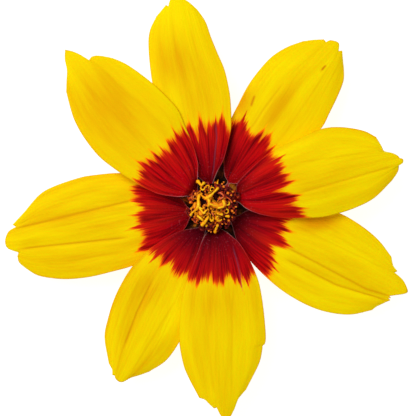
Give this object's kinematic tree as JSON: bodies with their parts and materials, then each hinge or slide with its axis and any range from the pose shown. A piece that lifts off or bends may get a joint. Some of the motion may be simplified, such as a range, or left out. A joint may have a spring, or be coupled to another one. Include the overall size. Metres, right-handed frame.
{
  "type": "threadleaf coreopsis flower",
  "caption": "Flat yellow flower head with a deep red eye: notched strap petals in overlapping layers round a domed golden disc, on a cup of bracts with a snipped stem end.",
  "frame": {"origin": "middle of the flat cut under the head, on the axis of the disc", "axes": "+Z out of the flower's face, +X to the right and +Y to the top when the flower is seen from above with the long straight petal pointing down"},
  "size_m": [0.0484, 0.0505, 0.0096],
  "materials": {
    "petal": "satin",
    "disc": "satin",
    "inner_bract": "matte",
    "green": "satin"
  },
  "bodies": {
    "root": {"ray_top": "petal", "ray_upper_right": "petal", "ray_right": "petal", "ray_lower_right": "petal", "ray_bottom": "petal", "ray_lower_left": "petal", "ray_left": "petal", "ray_upper_left": "petal", "disc_florets": "disc", "inner_bracts": "inner_bract", "receptacle": "green"}
  },
  "joints": []
}
